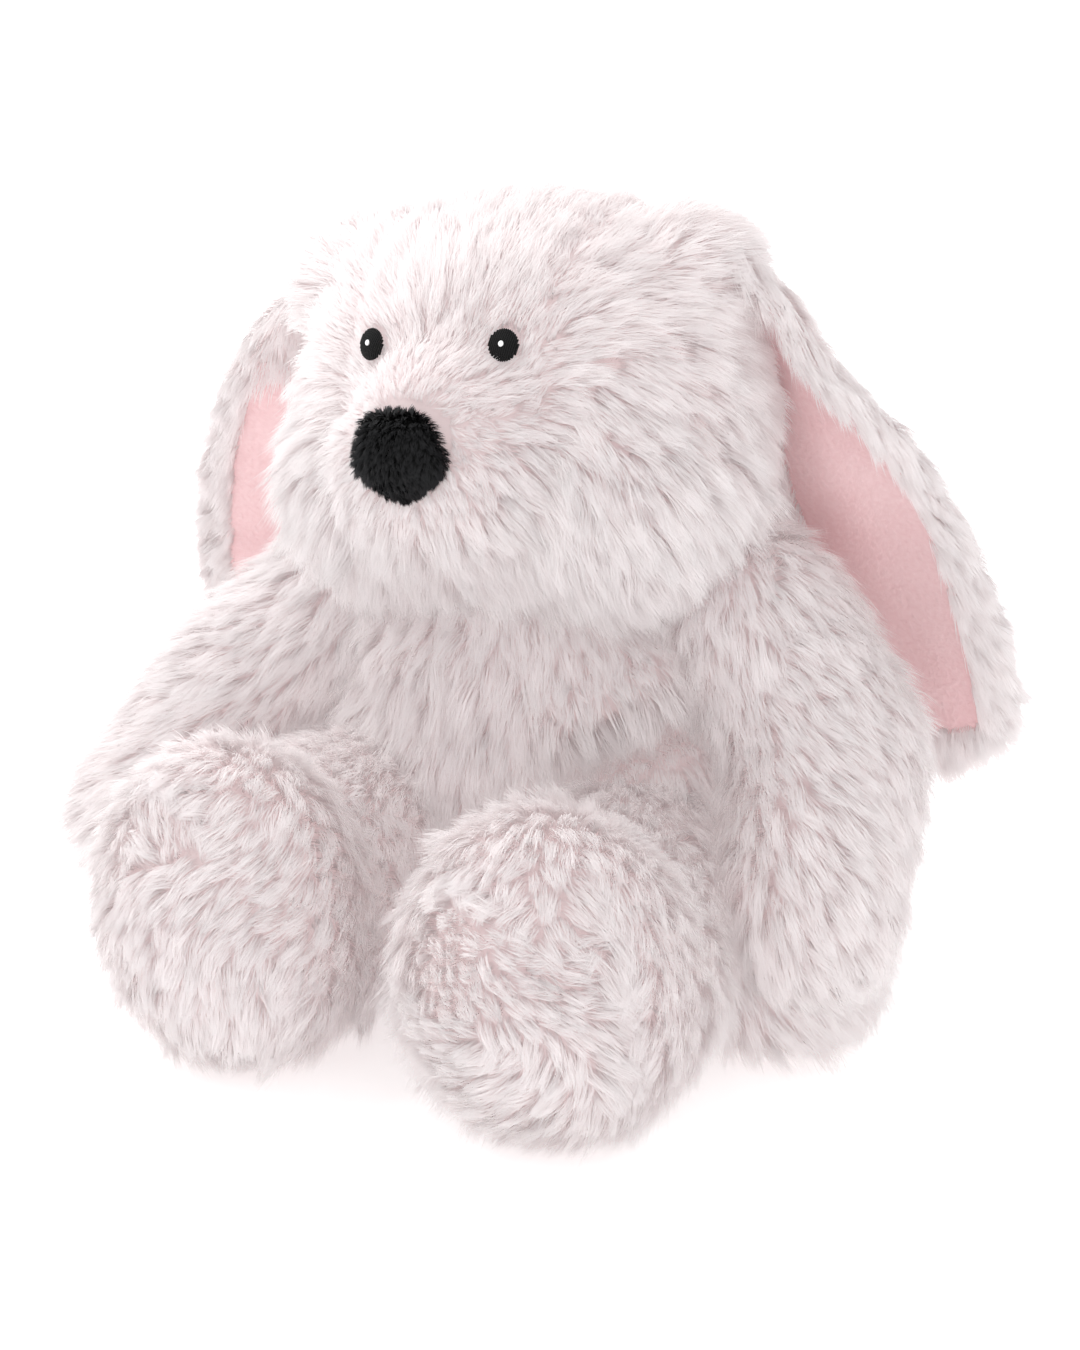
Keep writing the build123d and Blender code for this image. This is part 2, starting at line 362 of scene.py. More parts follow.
def fur_material(name, root, middle, tip, sheen=0.15, glow=0.5, fill=0.0):
    """Pile whose colour runs from root to tip, the roots darker as painted shade deep in the pile, and varies
    from lock to lock.

    glow is the share of light that passes through a hair, and fill is a faint painted glow in the pile's
    middle colour that stands for light that has bounced many times between the hairs.
    """
    material, nodes, links, shader = new_material(name)
    place = nodes.new("ShaderNodeUVMap")
    place.uv_map = "OFBake"
    split = nodes.new("ShaderNodeSeparateXYZ")
    links.new(place.outputs[0], split.inputs[0])
    ramp = nodes.new("ShaderNodeValToRGB")
    # The root end is darker and pinker: painted shade deep in the pile.
    ramp.color_ramp.elements[0].color = (*root, 1)
    ramp.color_ramp.elements[1].color = (*tip, 1)
    middle_stop = ramp.color_ramp.elements.new(FUR_MIDDLE)
    middle_stop.color = (*middle, 1)
    links.new(split.outputs["Y"], ramp.inputs[0])
    vary = nodes.new("ShaderNodeMapRange")
    vary.inputs["To Min"].default_value = DARKEST_LOCK
    vary.inputs["To Max"].default_value = LIGHTEST_LOCK
    links.new(split.outputs["X"], vary.inputs["Value"])
    tint = nodes.new("ShaderNodeHueSaturation")
    links.new(ramp.outputs[0], tint.inputs["Color"])
    links.new(vary.outputs[0], tint.inputs["Value"])
    links.new(tint.outputs[0], shader.inputs["Base Color"])
    shader.inputs["Roughness"].default_value = 0.62
    shader.inputs["Specular IOR Level"].default_value = 0.25
    shader.inputs["Sheen Weight"].default_value = sheen
    # A faint painted glow in the middle colour, standing in for light bounced many times between the hairs.
    shader.inputs["Emission Color"].default_value = (*middle, 1)
    shader.inputs["Emission Strength"].default_value = fill
    glow_shader = nodes.new("ShaderNodeBsdfTranslucent")
    links.new(tint.outputs[0], glow_shader.inputs["Color"])
    mix = nodes.new("ShaderNodeMixShader")
    mix.inputs[0].default_value = glow
    links.new(shader.outputs[0], mix.inputs[1])
    links.new(glow_shader.outputs[0], mix.inputs[2])
    links.new(mix.outputs[0], nodes["Material Output"].inputs["Surface"])
    return material


# The root colour, darker and pinker than the tip, is painted shade deep in the pile, and fill is a faint
# painted glow.
fur = fur_material("long_pile_fur", (0.90, 0.80, 0.80), (0.905, 0.865, 0.865), (0.918, 0.900, 0.901),
                   fill=0.18)
nose_fur = fur_material("black_plush", (0.004, 0.004, 0.004), (0.008, 0.008, 0.009), (0.02, 0.02, 0.022),
                        sheen=0.0, glow=0.1)


def velvet_material():
    material, nodes, links, shader = new_material("pink_velvet")
    place = nodes.new("ShaderNodeTexCoord")
    fine = nodes.new("ShaderNodeTexNoise")
    fine.inputs["Scale"].default_value = 520
    fine.inputs["Detail"].default_value = 3
    broad = nodes.new("ShaderNodeTexNoise")
    broad.inputs["Scale"].default_value = 28
    links.new(place.outputs["Object"], fine.inputs["Vector"])
    links.new(place.outputs["Object"], broad.inputs["Vector"])
    ramp = nodes.new("ShaderNodeValToRGB")
    ramp.color_ramp.elements[0].position = 0.3
    ramp.color_ramp.elements[0].color = (0.80, 0.515, 0.53, 1)
    ramp.color_ramp.elements[1].position = 0.7
    ramp.color_ramp.elements[1].color = (0.90, 0.66, 0.67, 1)
    blend = nodes.new("ShaderNodeMix")
    blend.inputs[0].default_value = 0.45
    links.new(broad.outputs[0], blend.inputs[2])
    links.new(fine.outputs[0], blend.inputs[3])
    links.new(blend.outputs[0], ramp.inputs[0])
    links.new(ramp.outputs[0], shader.inputs["Base Color"])
    bump = nodes.new("ShaderNodeBump")
    bump.inputs["Strength"].default_value = 0.7
    bump.inputs["Distance"].default_value = 0.0008
    links.new(fine.outputs[0], bump.inputs["Height"])
    links.new(bump.outputs[0], shader.inputs["Normal"])
    shader.inputs["Roughness"].default_value = 0.85
    shader.inputs["Sheen Weight"].default_value = 0.5
    shader.inputs["Sheen Roughness"].default_value = 0.4
    return material


velvet = velvet_material()


def thread_material(name, colour):
    material, nodes, links, shader = new_material(name)
    place = nodes.new("ShaderNodeTexCoord")
    twist = nodes.new("ShaderNodeTexNoise")
    twist.inputs["Scale"].default_value = 1500
    links.new(place.outputs["Object"], twist.inputs["Vector"])
    bump = nodes.new("ShaderNodeBump")
    bump.inputs["Strength"].default_value = 0.3
    bump.inputs["Distance"].default_value = 0.0003
    links.new(twist.outputs[0], bump.inputs["Height"])
    links.new(bump.outputs[0], shader.inputs["Normal"])
    shader.inputs["Base Color"].default_value = (*colour, 1)
    shader.inputs["Roughness"].default_value = 0.55
    shader.inputs["Specular IOR Level"].default_value = 0.2
    return material


black_thread = thread_material("black_embroidery", (0.005, 0.005, 0.005))
white_thread = thread_material("white_embroidery", (0.9, 0.9, 0.9))


# ---------------------------------------------------------------- head

HEAD_CENTRE = np.array((-1.0, -4.0, 211.0)) * MM
HEAD_TURN = (-3.3, -6.8, -1.0)
HEAD_ROT = np.array(Euler([math.radians(a) for a in HEAD_TURN]).to_matrix())
HEAD_MATRIX = Matrix.Translation(Vector(HEAD_CENTRE)) @ Matrix(HEAD_ROT.tolist()).to_4x4()
NOSE_LOCAL = np.array((0.0, -90.0, 0.0)) * MM
EYE_ACROSS = 23.4 * MM
EYE_UP = 28.5 * MM


def head_parts():
    local = [
        ball((0, 2, 0), (80, 66, 64)),
        ball((0, 0, 14), (72, 62, 54)),
        ball((38, -12, -20), (42, 50, 42)),
        ball((-38, -12, -20), (42, 50, 42)),
        ball((0, -49, -9), (40, 39, 35)),
        ball((0, -37, -26), (36, 32, 28)),
        ball((0, -51, 8), (25, 35, 21)),
        ball((59, 8, 43), (22, 24, 18)),
        ball((-65, 4, 40), (21, 24, 20)),
        ball((-3, 6, 37), (74, 44, 30)),
    ]
    return [HEAD_MATRIX @ part for part in local]


def to_head(points):
    return (points - HEAD_CENTRE) @ HEAD_ROT


def from_head(vectors):
    return vectors @ HEAD_ROT.T


GUSSET_AT_NOSE = 14 * MM
GUSSET_AT_EYES = 34 * MM
GUSSET_AT_CROWN = 40 * MM
CHEEK_LINE = -4 * MM
PARTING_WIDTH = 3.5 * MM
EYE_CLEARING = 5.0 * MM
NOSE_CLEARING = (15.5 * MM, 14.5 * MM)
NO_SEAM = 99


def gusset_half(local):
    """Half width of the centre panel: narrow at the nose, wide past the eyes."""
    from_nose = local[:, 1] - NOSE_LOCAL[1]
    near = GUSSET_AT_NOSE + (GUSSET_AT_EYES - GUSSET_AT_NOSE) * smooth_step(from_nose, 0.0, 0.035)
    return near + (GUSSET_AT_CROWN - GUSSET_AT_EYES) * smooth_step(from_nose, 0.05, 0.12)


def head_panel(local):
    """0 for the centre gusset, 1 for the left side, 2 for the right side."""
    above = local[:, 2] > CHEEK_LINE
    centre = (np.abs(local[:, 0]) < gusset_half(local)) & above
    return np.where(centre, 0, np.where(local[:, 0] > 0, 1, 2))


def head_coat(roots, normals):
    """Pile that runs back from the nose: short at the nose, soft and flat on the forehead, and in
    heavy drooping tufts on the cheeks and chin. It parts along the seams."""
    local = to_head(roots)
    up = normals @ HEAD_ROT
    from_nose = local - NOSE_LOCAL
    reach = np.linalg.norm(from_nose, axis=1)
    low = smooth_step(-local[:, 2], -0.034, 0.022)
    top = smooth_step(local[:, 2], -0.005, 0.030)
    nap = unit(tangent(from_nose, up)) + low[:, None] * np.array((0, 0.15, -1.0))
    side = smooth_step(np.abs(local[:, 0]), 0.026, 0.060) * (1 - 0.6 * top)
    nap = nap + side[:, None] * np.array((0, 0.1, -0.9))
    nap = unit(tangent(nap + 0.16 * ripple(local, 0.024, 3), up))
    seam = np.abs(local[:, 0]) - gusset_half(local)
    on_seam = (local[:, 2] > CHEEK_LINE) & (local[:, 1] < 0.045)
    chin = (local[:, 2] < CHEEK_LINE) & (local[:, 1] < -0.015)
    seam = np.where(chin, local[:, 0], seam * np.where(on_seam, 1, NO_SEAM))
    away = np.where(chin, 1.0, np.sign(local[:, 0])) * np.sign(seam)
    parting = np.exp(-(seam / PARTING_WIDTH) ** 2)
    nap = nap + (parting * away)[:, None] * np.array((0.9, 0, 0))
    length = 6 + 7.5 * smooth_step(reach, 0.016, 0.055) + 3.0 * smooth_step(-local[:, 2], -0.005, 0.030)
    length = length * (1 - 0.50 * parting)
    stand = 0.46 - 0.28 * top + 0.06 * low
    pull = 0.44 - 0.36 * top
    keep = np.ones(len(roots), bool)
    for sign in (1, -1):
        gap = np.hypot(local[:, 0] - sign * EYE_ACROSS, local[:, 2] - EYE_UP) + (local[:, 1] > 0)
        length = length * (1 - 0.50 * np.exp(-(gap / 0.011) ** 2))
        keep &= gap > EYE_CLEARING
    nose_gap = np.hypot(local[:, 0] / NOSE_CLEARING[0], (local[:, 2] - 0.001) / NOSE_CLEARING[1])
    nose_gap = nose_gap + (local[:, 1] > -0.04)
    keep &= nose_gap > 1
    return {"nap": from_head(unit(nap)), "length": length * MM, "stand": stand, "pull": pull, "keep": keep}


QUICK_SHARE = 0.3
QUICK_WIDENING = 1.8


def grow_body(mesh, coat_fn, panel_fn, panels, body, per_cm2, seed):
    """Grows one body's coat and splits cloth and pile into its sewn panels."""
    rng = np.random.default_rng(seed)
    skin = (read_vertices(mesh), read_normals(mesh), read_triangles(mesh))
    density = per_cm2 if FULL_COAT else per_cm2 * QUICK_SHARE
    thick = HAIR_WIDTH if FULL_COAT else HAIR_WIDTH * QUICK_WIDENING
    roots, ups = scatter(*skin, density, rng)
    fields = coat_fn(roots, ups)
    keep = fields.pop("keep")
    roots, ups = roots[keep], ups[keep]
    fields = {key: value[keep] for key, value in fields.items()}
    coat = comb(roots, ups, fields, rng)
    widths = thick * rng.uniform(*HAIR_WIDTH_SPREAD, len(roots))
    face_panel = panel_fn(skin[0][skin[2]].mean(1))
    hair_panel = panel_fn(roots)
    for index, (panel, nodes) in enumerate(panels):
        piece = furred_panel(panel, skin, face_panel == index, coat, hair_panel == index, fur, widths, rng)
        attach(piece, body)
        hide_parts(*nodes)


head_mesh = skin_mesh("head_skin", head_parts())
grow_body(head_mesh, head_coat, lambda p: head_panel(to_head(p)),
          [("head_gusset", ["head_gusset_panel", "head_stuffing"]),
           ("head_left_side", ["head_left_panel"]),
           ("head_right_side", ["head_right_panel"])], "head", 205, 5)


# ---------------------------------------------------------------- torso

def torso_parts():
    return [
        ball((2, 14, 50), (108, 70, 54)),
        ball((94, -12, 32), (36, 44, 31)),
        ball((-84, -6, 30), (32, 38, 29)),
        ball((110, -22, 23), (26, 37, 22)),
        ball((0, 12, 80), (86, 62, 50)),
        ball((0, 9, 112), (70, 54, 46)),
        ball((0, 4, 142), (46, 38, 26)),
        ball((2, 92, 44), (19, 17, 19)),
    ]


CREASE_START = np.array((0.034, 0.100))
CREASE_END = np.array((0.072, 0.119))
FOLD_DEPTH = 15.0
FOLD_RISE = -6 * MM
FOLD_WIDTH = 8 * MM
ROLL_HEIGHT = 8.0
ROLL_RISE = 12 * MM
ROLL_WIDTH = 9 * MM
TAIL_CENTRE = np.array((2, 94, 44)) * MM
TAIL_RADIUS = 21.5 * MM
TORSO_FLOOR = 1.5 * MM
BACK_SEAM = 2 * MM
SIDE_SEAM = 20 * MM


def crease_gap(points):
    """Seen from the front, each point's height above the fold across the belly, and the fold's depth
    there from 0 to 1.
    """
    line = CREASE_END - CREASE_START
    offset = points[:, [0, 2]] - CREASE_START
    along = offset @ line / (line @ line)
    above = (offset[:, 1] * line[0] - offset[:, 0] * line[1]) / np.linalg.norm(line)
    ends = smooth_step(along, -0.4, 0.1) * (1 - smooth_step(along, 0.9, 1.5))
    return above, ends * (points[:, 1] < 0)


def press_crease(mesh):
    points, normals = read_vertices(mesh), read_normals(mesh)
    above, depth = crease_gap(points)
    fold = FOLD_DEPTH * np.exp(-((above - FOLD_RISE) / FOLD_WIDTH) ** 2)
    roll = ROLL_HEIGHT * np.exp(-((above - ROLL_RISE) / ROLL_WIDTH) ** 2)
    write_vertices(mesh, points - normals * ((fold - roll) * depth * MM)[:, None])


def body_panel(points):
    """0 front, 1 back left, 2 back right, 3 tail."""
    tail = np.linalg.norm(points - TAIL_CENTRE, axis=1) < TAIL_RADIUS
    back = np.where(points[:, 0] > BACK_SEAM, 1, 2)
    return np.where(tail, 3, np.where(points[:, 1] < SIDE_SEAM, 0, back))


def torso_coat(roots, normals):
    down = tangent(np.array((0.0, -0.15, -1.0)) + 0 * roots, normals)
    spread = tangent(roots * np.array((1, 0.3, 0)), normals) * 7
    nap = unit(down + spread + 0.28 * ripple(roots, 0.022, 8))
    low = smooth_step(-roots[:, 2], -0.020, -0.002)
    above, depth = crease_gap(roots)
    overhang = depth * np.exp(-((above - 0.007) / 0.006) ** 2)
    fold = depth * np.exp(-((above + 0.009) / 0.010) ** 2)
    length = 14.5 * (1 - 0.75 * low) * (1 + 0.15 * overhang) * (1 - 0.7 * fold)
    stand = 0.40 + 0.25 * overhang - 0.15 * fold
    return {"nap": nap, "length": length * MM, "stand": stand, "pull": np.full(len(roots), 0.42),
            "keep": roots[:, 2] > TORSO_FLOOR}


def flatten_seat(mesh, floor):
    points = read_vertices(mesh)
    points[:, 2] = np.maximum(points[:, 2], floor)
    write_vertices(mesh, points)


torso_mesh = skin_mesh("torso_skin", torso_parts())
flatten_seat(torso_mesh, TORSO_FLOOR)
press_crease(torso_mesh)
grow_body(torso_mesh, torso_coat, body_panel,
          [("body_front", ["body_front_panel", "body_stuffing", "grain_pouch_liner", "grain_fill"]),
           ("body_back_left", ["body_back_left_panel", "back_closing_stitches"]),
           ("body_back_right", ["body_back_right_panel"]),
           ("tail", ["tail_cover", "tail_stuffing"])], "torso", 160, 6)


# ---------------------------------------------------------------- arms

ARM_RADII = (28, 29, 26)
ARM_PILE = 14.5
ARM_START = -26
ARM_HAIRS = 185


def arm_coat(shoulder, hand):
    """Pile that falls from the shoulder to the hand and turns outwards on the way."""
    def coat(roots, normals):
        along = unit(np.array(hand, float) - np.array(shoulder, float))
        reach = ((roots - np.array(shoulder) * MM) @ along) / MM
        away = tangent(roots * np.array((1, 0.2, 0)), normals) * 7
        fall = tangent(np.array((0, 0, -0.3)) + 0 * roots, normals)
        nap = unit(tangent(along + 0 * roots, normals) + away + fall + 0.26 * ripple(roots, 0.02, 12))
        stand = 0.44 - 0.08 * smooth_step(reach, 60, 110)
        return {"nap": nap, "length": np.full(len(roots), ARM_PILE) * MM, "stand": stand,
                "pull": np.full(len(roots), 0.42), "keep": reach > ARM_START}
    return coat


def make_arm(side, shoulder, elbow, hand, seed):
    mesh = skin_mesh(side + "_arm_skin", tube([shoulder, elbow, hand], ARM_RADII))
    joint = joints[side + "_shoulder_raise"]
    seam = np.cross(np.array(joint["axis"]), np.array(hand) - np.array(shoulder))
    middle = np.array(shoulder) * MM

    def panel(points):
        return np.where((points - middle) @ seam > 0, 0, 1)

    grow_body(mesh, arm_coat(shoulder, hand), panel,
              [(side + "_arm_outer", [side + "_arm_outer_panel", side + "_arm_stuffing"]),
               (side + "_arm_inner", [side + "_arm_inner_panel"])], side + "_arm", ARM_HAIRS, seed)


make_arm("left", (80, 4, 143), (114, -8, 102), (122, -41, 60), 21)
make_arm("right", (-74, 8, 127), (-112, -20, 88), (-137, -50, 47), 22)


# ---------------------------------------------------------------- legs

LEG_RADII = (39, 45)
LEG_PILE = 14
SOLE_PILE = 10
LEG_START = -12
LEG_FLOOR = 1.2 * MM
SOLE_SEAM = 20
LEG_HAIRS = 185


def leg_coat(hip, foot):
    """Pile that runs down the leg. On the sole it is shorter, matted and swirled."""
    def coat(roots, normals):
        forward = unit(np.array((foot[0] - hip[0], foot[1] - hip[1], 0.0)))
        reach = (roots / MM - np.array(foot)) @ forward
        sole = smooth_step(reach, 8, 30)
        from_sole = tangent(roots - np.array(foot) * MM, normals) * 12
        nap = tangent(forward + 0 * roots, normals) * (1 - sole)[:, None] + from_sole * sole[:, None]
        fall = tangent(np.array((0, 0, -0.35)) + 0 * roots, normals)
        nap = unit(nap + fall + (0.30 + 0.35 * sole)[:, None] * ripple(roots, 0.013, 31))
        low = smooth_step(-roots[:, 2], -0.014, -0.001)
        length = (LEG_PILE - (LEG_PILE - SOLE_PILE) * sole) * (1 - 0.75 * low)
        stand = 0.42 + 0.08 * sole
        keep = ((roots / MM - np.array(hip)) @ forward > LEG_START) & (roots[:, 2] > LEG_FLOOR)
        return {"nap": nap, "length": length * MM, "stand": stand, "pull": 0.42 + 0.1 * sole, "keep": keep}
    return coat


def make_leg(side, hip, ankle, foot, turn, seed):
    parts = tube([hip, ankle], LEG_RADII)
    parts.append(ball(foot, (45, 37, 54), (0, 0, turn)))
    parts.append(ball((foot[0], foot[1] - 4, foot[2] - 2), (41, 37, 48), (0, 0, turn)))
    mesh = skin_mesh(side + "_leg_skin", parts)
    flatten_seat(mesh, LEG_FLOOR)
    sole_line = foot[1] - SOLE_SEAM

    def panel(points):
        sole = points[:, 1] / MM < sole_line
        return np.where(sole, 2, np.where(points[:, 2] / MM > hip[2], 0, 1))

    grow_body(mesh, leg_coat(hip, foot), panel,
              [(side + "_leg_upper", [side + "_leg_upper_panel", side + "_leg_stuffing"]),
               (side + "_leg_under", [side + "_leg_under_panel"]),
               (side + "_foot_sole", [side + "_foot_sole_panel"])], side + "_leg", LEG_HAIRS, seed)


make_leg("left", (52, -30, 46), (62, -96, 47), (63, -118, 56), 8, 31)
make_leg("right", (-50, -30, 46), (-54, -94, 46), (-55, -120, 56), -4, 32)


# ---------------------------------------------------------------- ears

EAR_OUTLINE_U = (0.0, 0.15, 0.35, 0.55, 0.75, 0.90, 0.97, 1.0)
EAR_OUTLINE_HALF = (16, 19, 26, 32, 35, 32, 24, 8)
EAR_WIDEST_HALF = 37
EAR_LONG = 0.216
EAR_WIDE = 0.060
EAR_HAIRS = 480
EAR_HAIRS_QUICK = 140
EAR_HAIR_WIDTH = 0.28
EAR_HAIR_WIDTH_QUICK = 0.65
EAR_PILE = 12.5
LINING_HALF = 0.80
LINING_FOOT = 0.95
LINING_THICK = 1.2 * MM
EarPlace = namedtuple("EarPlace", "root tip inward spread flare lining_start")


def ear_place(side):
    """The ear's root, tip, which way is inwards, how far it spreads at the top and at the foot, and
    where its lining starts. The root and tip are read from its joint and its CAD panel.
    """
    root = np.array(joints[side + "_ear_swing"]["pos_m"])
    points = read_vertices(frame["nodes"][side + "_ear_back_panel"].data)
    gaps = points - root
    tip = root + gaps[np.argsort(np.linalg.norm(gaps, axis=1))[-8:]].mean(0)
    if side == "left":
        return EarPlace(root, tip, inward=-1, spread=0, flare=-12, lining_start=0.09)
    return EarPlace(root, tip, inward=1, spread=12, flare=-12, lining_start=0.25)


def ear_along(place):
    return unit(place.tip - place.root)


def ear_facing(u, place):
    """Across the ear, and out of its lining, at each place down it.

    The ear leaves the head facing its side, and turns to face forwards as it hangs.
    """
    along = ear_along(place)
    turn = smooth_step(u, 0.08, 0.45)[:, None]
    aside = np.array((0.80 * place.inward, -0.60, 0.0))
    ahead = np.array((0.12 * place.inward, -0.99, 0.0))
    facing = unit(tangent(aside * (1 - turn) + ahead * turn, along + 0 * turn))
    return np.cross(facing, along), facing


def ear_middle(u, place):
    """The ear's middle line: tucked in at the root, then spread outwards and set back a little."""
    tuck = (1 - smooth_step(u, -0.02, 0.13))[:, None]
    line = place.root + (place.tip - place.root) * u[:, None]
    middle = line + np.array((9 * place.inward, 0, -5)) * MM * tuck
    outward = place.spread * smooth_step(u, 0.0, 0.2) + place.flare * smooth_step(u, 0.45, 1.0)
    middle = middle - np.array((place.inward, 0, 0)) * MM * outward[:, None]
    return middle + np.array((0, 6, 0)) * MM * smooth_step(u, 0.3, 0.7)[:, None]


def ear_point(u, v, place, lift):
    """A place on the ear: u runs down it from 0 to 1, v across it from -1 to 1."""
    across, facing = ear_facing(u, place)
    half = np.interp(u, EAR_OUTLINE_U, EAR_OUTLINE_HALF) * MM
    inner = np.clip(v * place.inward, 0, 1) * smooth_step(u, 0.10, 0.35) * (1 - smooth_step(u, 0.70, 0.95))
    cup = 5 * MM * v ** 2 * np.sin(np.clip(u, 0, 1) * math.pi) - 16 * MM * inner ** 2
    wave = 2.2 * MM * np.sin(v * 3.2 + u * 7) * np.clip(u, 0, 1)
    out = (lift + cup + wave)[:, None]
    return ear_middle(u, place) + across * (v * half * (1 + 0.35 * inner))[:, None] + facing * out


def ear_sheet(name, place, v_limit, u_range, lift, rows=72, columns=30):
    u = np.linspace(u_range[0], u_range[1], rows)
    v = np.linspace(-v_limit, v_limit, columns)
    grid_u, grid_v = np.meshgrid(u, v, indexing="ij")
    points = ear_point(grid_u.ravel(), grid_v.ravel(), place, lift)
    faces = []
    for i in range(rows - 1):
        for j in range(columns - 1):
            a = i * columns + j
            faces.append((a, a + 1, a + columns + 1, a + columns))
    mesh = bpy.data.meshes.new(name)
    mesh.from_pydata(points.tolist(), [], faces)
    mesh.update()
    return mesh


def ear_coat(place, rng):
    """Pile on the whole back of the ear, wrapping over its rim onto the front."""
    per_cm2 = EAR_HAIRS if FULL_COAT else EAR_HAIRS_QUICK
    count = int(EAR_LONG * EAR_WIDE * 1e4 * per_cm2)
    u = rng.uniform(-0.02, 1.0, count)
    v = rng.uniform(-1.0, 1.0, count)
    thinner = rng.random(count) < np.interp(u, EAR_OUTLINE_U, EAR_OUTLINE_HALF) / EAR_WIDEST_HALF
    u, v = u[thinner], v[thinner]
    front = rng.random(len(u)) < 0.48
    edge = rng.random(len(u)) < 0.18
    crown = u < place.lining_start + 0.04
    v = np.where(front & ~crown, np.sign(v) * (0.68 + 0.32 * np.abs(v)), v)
    v = np.where(edge, np.sign(v), v)
    foot = front & (rng.random(len(u)) < 0.12)
    u = np.where(foot, 0.93 + 0.07 * rng.random(len(u)), u)
    v = np.where(foot, rng.uniform(-1, 1, len(u)), v)
    across, facing = ear_facing(u, place)
    lift = np.where(edge, rng.uniform(-0.003, 0.002, len(u)), np.where(front, 0.002, -0.003))
    roots = ear_point(u, v, place, lift)
    ups = np.where(front[:, None], facing, -facing) * np.where(edge, 0.3, 1.0)[:, None]
    rim = smooth_step(np.abs(v), 0.50, 1.0)
    ups = unit(ups + across * (np.sign(v) * rim * 0.9)[:, None])
    sideways = across * (np.sign(v) * 0.45 * rim)[:, None]
    nap = ear_along(place) + sideways + 0.16 * ripple(roots, 0.02, 7)
    fields = {"nap": unit(tangent(nap, ups)), "length": (EAR_PILE - 1.5 * front) * MM,
              "stand": 0.20 + 0.14 * rim, "pull": np.full(len(u), 0.16)}
    return roots, comb(roots, ups, fields, rng, lock=4.5, frizz=1.3, droop=0.10)


def make_ear(side, seed):
    place = ear_place(side)
    rng = np.random.default_rng(seed)
    back = ear_sheet(side + "_ear_cloth", place, 1.0, (-0.03, 1.0), -0.003)
    skin = (read_vertices(back), read_normals(back), read_triangles(back))
    roots, coat = ear_coat(place, rng)
    thick = EAR_HAIR_WIDTH if FULL_COAT else EAR_HAIR_WIDTH_QUICK
    widths = thick * rng.uniform(*HAIR_WIDTH_SPREAD, len(roots))
    piece = furred_panel(side + "_ear_back", skin, np.ones(len(skin[2]), bool), coat,
                         np.ones(len(roots), bool), fur, widths, rng)
    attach(piece, side + "_ear")
    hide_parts(side + "_ear_back_panel")
    lining_range = (place.lining_start, LINING_FOOT)
    lining_mesh = ear_sheet(side + "_ear_lining_cloth", place, LINING_HALF, lining_range, 0.0025)
    lining = put(side + "_ear_velvet", lining_mesh, velvet)
    thickness = lining.modifiers.new("cloth", "SOLIDIFY")
    thickness.thickness = LINING_THICK
    rounder = lining.modifiers.new("rounder", "SUBSURF")
    rounder.levels = 1
    rounder.render_levels = 1
    smooth_faces(lining_mesh)
    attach(lining, side + "_ear")
    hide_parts(side + "_ear_lining")


make_ear("left", 41)
make_ear("right", 42)


# ---------------------------------------------------------------- nose and eyes

NOSE_RADII = np.array((15.2, 7.5, 13.4)) * MM
NOSE_CENTRE = np.array((0, -89, -0.5)) * MM
NOSE_FUR_FROM = -86 * MM
NOSE_HAIRS = 900
NOSE_HAIRS_QUICK = 300
NOSE_PILE = 3.0
NOSE_HAIR_WIDTH = 0.28
NOSE_POINTS = 5
NOSE_SWELL = 0.045


def nose_radius(angle):
    """A rounded pentagon with its point down."""
    return 1 + NOSE_SWELL * np.cos(NOSE_POINTS * (angle + math.pi / 2))


def nose_cushion():
    bm = bmesh.new()
    bmesh.ops.create_icosphere(bm, subdivisions=5, radius=1)
    mesh = bpy.data.meshes.new("nose_skin")
    bm.to_mesh(mesh)
    bm.free()
    points = read_vertices(mesh)
    angle = np.arctan2(points[:, 2], points[:, 0])
    swell = nose_radius(angle)[:, None]
    points = points * NOSE_RADII * np.where([[True, False, True]], swell, 1) + NOSE_CENTRE
    write_vertices(mesh, points @ HEAD_ROT.T + HEAD_CENTRE)
    return mesh


def make_nose():
    rng = np.random.default_rng(51)
    mesh = nose_cushion()
    skin = (read_vertices(mesh), read_normals(mesh), read_triangles(mesh))
    roots, ups = scatter(*skin, NOSE_HAIRS if FULL_COAT else NOSE_HAIRS_QUICK, rng)
    front = to_head(roots)[:, 1] < NOSE_FUR_FROM
    roots, ups = roots[front], ups[front]
    nap = tangent(from_head(np.array((0, 0, -1.0)) + 0 * roots), ups) + 0.4 * ripple(roots, 0.006, 5)
    fields = {"nap": unit(nap), "length": np.full(len(roots), NOSE_PILE) * MM,
              "stand": np.full(len(roots), 0.75), "pull": np.full(len(roots), 0.5)}
    coat = comb(roots, ups, fields, rng, lock=2.2, fine=1.0, frizz=0.5, droop=0.0)
    widths = NOSE_HAIR_WIDTH * rng.uniform(*HAIR_WIDTH_SPREAD, len(roots))
    piece = furred_panel("nose", skin, np.ones(len(skin[2]), bool), coat,
                         np.ones(len(roots), bool), nose_fur, widths, rng)
    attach(piece, "head")
    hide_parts("nose_cover", "nose_stuffing")


make_nose()


def surface_at(mesh, local_x, local_z):
    """The most forward place on the head's cloth at a place on the face, and the normal there."""
    points, normals = read_vertices(mesh), read_normals(mesh)
    local = to_head(points)
    gap = np.hypot(local[:, 0] - local_x, local[:, 2] - local_z) + (local[:, 1] > 0) * 10
    nearest = np.argsort(gap)[:12]
    return points[nearest].mean(0), unit(normals[nearest].mean(0))


EYE_RADIUS = 5.0
EYE_DOME = 1.3
EYE_LIFT = 5.0 * MM
SATIN_ROWS = 15
HALF_ROW = 6.5
GLINT_PLACE = (-0.5, 0.2, 1.7)
GLINT_RADII = (0.9, 1.0, 0.5)


